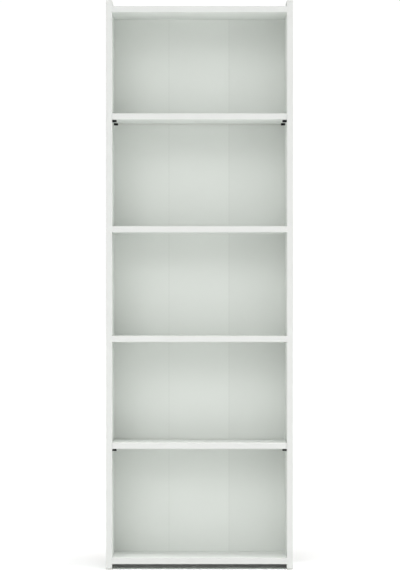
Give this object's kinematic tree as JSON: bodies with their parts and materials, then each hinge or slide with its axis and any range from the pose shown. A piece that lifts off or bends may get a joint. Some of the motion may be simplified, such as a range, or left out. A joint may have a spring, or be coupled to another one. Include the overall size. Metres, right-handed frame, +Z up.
{
  "type": "bookcase with adjustable shelves",
  "caption": "Tall narrow open bookcase in white board, with fixed shelves that stiffen it, adjustable shelves on plug-in pins, and a thin folded back.",
  "frame": {"origin": "on the floor, under the middle of the bookcase's width and depth", "axes": "+X to the right seen from the front, the open front faces -Y, +Z up"},
  "size_m": [0.591, 0.24, 1.8],
  "materials": {
    "white_foil_board": "satin",
    "painted_hardboard": "matte",
    "paper_tape": "matte",
    "black_plastic": "satin",
    "white_plastic": "satin",
    "zinc_steel": "satin",
    "beech": "matte"
  },
  "bodies": {
    "carcass": {"left_side_panel": "white_foil_board", "right_side_panel": "white_foil_board", "top_panel": "white_foil_board", "fixed_shelf_upper": "white_foil_board", "fixed_shelf_lower": "white_foil_board", "bottom_panel": "white_foil_board", "back_panel_left": "painted_hardboard", "back_panel_middle": "painted_hardboard", "back_panel_right": "painted_hardboard", "back_hinge_tape_left": "paper_tape", "back_hinge_tape_right": "paper_tape", "confirmat_screw_top_left_front": "zinc_steel", "confirmat_screw_top_left_rear": "zinc_steel", "dowel_top_left": "beech", "confirmat_screw_top_right_front": "zinc_steel", "confirmat_screw_top_right_rear": "zinc_steel", "dowel_top_right": "beech", "confirmat_screw_upper_left_front": "zinc_steel", "confirmat_screw_upper_left_rear": "zinc_steel", "dowel_upper_left": "beech", "confirmat_screw_upper_right_front": "zinc_steel", "confirmat_screw_upper_right_rear": "zinc_steel", "dowel_upper_right": "beech", "confirmat_screw_lower_left_front": "zinc_steel", "confirmat_screw_lower_left_rear": "zinc_steel", "dowel_lower_left": "beech", "confirmat_screw_lower_right_front": "zinc_steel", "confirmat_screw_lower_right_rear": "zinc_steel", "dowel_lower_right": "beech", "confirmat_screw_bottom_left_front": "zinc_steel", "confirmat_screw_bottom_left_rear": "zinc_steel", "dowel_bottom_left": "beech", "confirmat_screw_bottom_right_front": "zinc_steel", "confirmat_screw_bottom_right_rear": "zinc_steel", "dowel_bottom_right": "beech", "foot_glide_left_front": "white_plastic", "foot_glide_left_rear": "white_plastic", "foot_glide_right_front": "white_plastic", "foot_glide_right_rear": "white_plastic", "wall_bracket": "zinc_steel", "wall_bracket_screw": "zinc_steel"},
    "upper_shelf": {"adjustable_shelf_upper": "white_foil_board"},
    "lower_shelf": {"adjustable_shelf_lower": "white_foil_board"},
    "upper_left_front_pin": {"shelf_pin_upper_left_front": "black_plastic"},
    "upper_left_rear_pin": {"shelf_pin_upper_left_rear": "black_plastic"},
    "upper_right_front_pin": {"shelf_pin_upper_right_front": "black_plastic"},
    "upper_right_rear_pin": {"shelf_pin_upper_right_rear": "black_plastic"},
    "lower_left_front_pin": {"shelf_pin_lower_left_front": "black_plastic"},
    "lower_left_rear_pin": {"shelf_pin_lower_left_rear": "black_plastic"},
    "lower_right_front_pin": {"shelf_pin_lower_right_front": "black_plastic"},
    "lower_right_rear_pin": {"shelf_pin_lower_right_rear": "black_plastic"}
  },
  "joints": [
    {"name": "upper_shelf_draw_out", "type": "slide", "parent": "carcass", "child": "upper_shelf", "axis": [0, -1, 0], "range_m": [0, 0.24]},
    {"name": "lower_shelf_draw_out", "type": "slide", "parent": "carcass", "child": "lower_shelf", "axis": [0, -1, 0], "range_m": [0, 0.24]},
    {"name": "upper_left_front_pin_pull_out", "type": "slide", "parent": "carcass", "child": "upper_left_front_pin", "axis": [1, 0, 0], "range_m": [0, 0.012]},
    {"name": "upper_left_rear_pin_pull_out", "type": "slide", "parent": "carcass", "child": "upper_left_rear_pin", "axis": [1, 0, 0], "range_m": [0, 0.012]},
    {"name": "upper_right_front_pin_pull_out", "type": "slide", "parent": "carcass", "child": "upper_right_front_pin", "axis": [-1, 0, 0], "range_m": [0, 0.012]},
    {"name": "upper_right_rear_pin_pull_out", "type": "slide", "parent": "carcass", "child": "upper_right_rear_pin", "axis": [-1, 0, 0], "range_m": [0, 0.012]},
    {"name": "lower_left_front_pin_pull_out", "type": "slide", "parent": "carcass", "child": "lower_left_front_pin", "axis": [1, 0, 0], "range_m": [0, 0.012]},
    {"name": "lower_left_rear_pin_pull_out", "type": "slide", "parent": "carcass", "child": "lower_left_rear_pin", "axis": [1, 0, 0], "range_m": [0, 0.012]},
    {"name": "lower_right_front_pin_pull_out", "type": "slide", "parent": "carcass", "child": "lower_right_front_pin", "axis": [-1, 0, 0], "range_m": [0, 0.012]},
    {"name": "lower_right_rear_pin_pull_out", "type": "slide", "parent": "carcass", "child": "lower_right_rear_pin", "axis": [-1, 0, 0], "range_m": [0, 0.012]}
  ]
}
